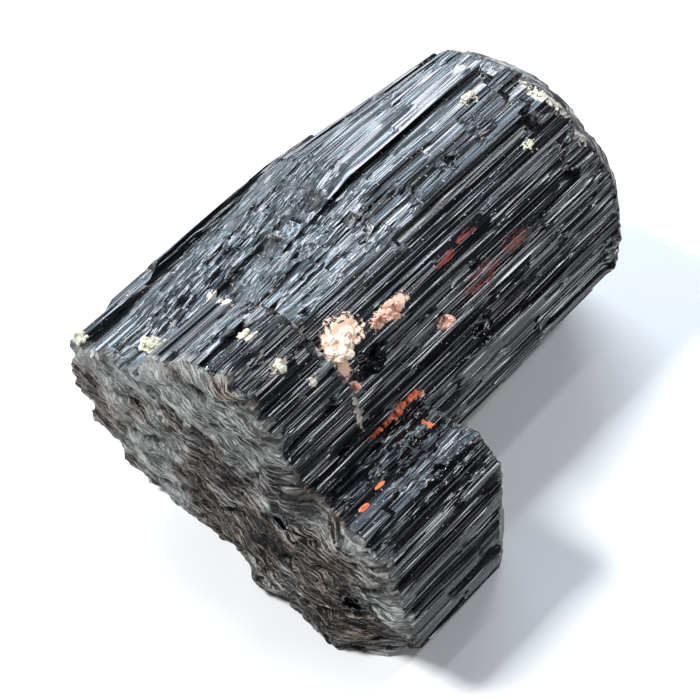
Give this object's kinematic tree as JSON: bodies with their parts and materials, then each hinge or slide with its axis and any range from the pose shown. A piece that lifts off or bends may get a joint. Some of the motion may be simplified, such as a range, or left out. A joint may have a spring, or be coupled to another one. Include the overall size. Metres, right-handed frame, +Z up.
{
  "type": "black tourmaline crystal specimen",
  "caption": "Black striated tourmaline crystal group with broken ends, lying on its side, with cream and peach feldspar grains in its pockets.",
  "frame": {"origin": "middle of the base of the part's box, on the surface that it lies on", "axes": "+X along the crystals' long axis towards the far broken end, +Y towards the main crystal's left flank, +Z up"},
  "size_m": [0.0597, 0.0484, 0.0315],
  "materials": {
    "tourmaline": "vitreous striated faces, dull hackly breaks",
    "feldspar": "granular, white to peach",
    "feldspar_peach": "granular, pink to peach",
    "feldspar_cream": "waxy cream grain",
    "iron_crust": "earthy orange crust",
    "quartz": "greasy grey grain"
  },
  "bodies": {
    "root": {"tourmaline": "tourmaline", "feldspar_pocket_mass": "feldspar", "feldspar_peach_ridge": "feldspar_peach", "feldspar_cliff_foot": "feldspar_peach", "feldspar_right_slope": "feldspar_peach", "feldspar_far_top": "feldspar_cream", "feldspar_far_groove": "feldspar_cream", "feldspar_near_left": "feldspar_cream", "feldspar_left_corner": "feldspar_cream", "feldspar_front_shoulder": "feldspar_cream", "feldspar_front_ridge": "feldspar_cream", "iron_crust_crack": "iron_crust", "iron_crust_side_spot": "iron_crust", "quartz_base_grain": "quartz"}
  },
  "joints": []
}
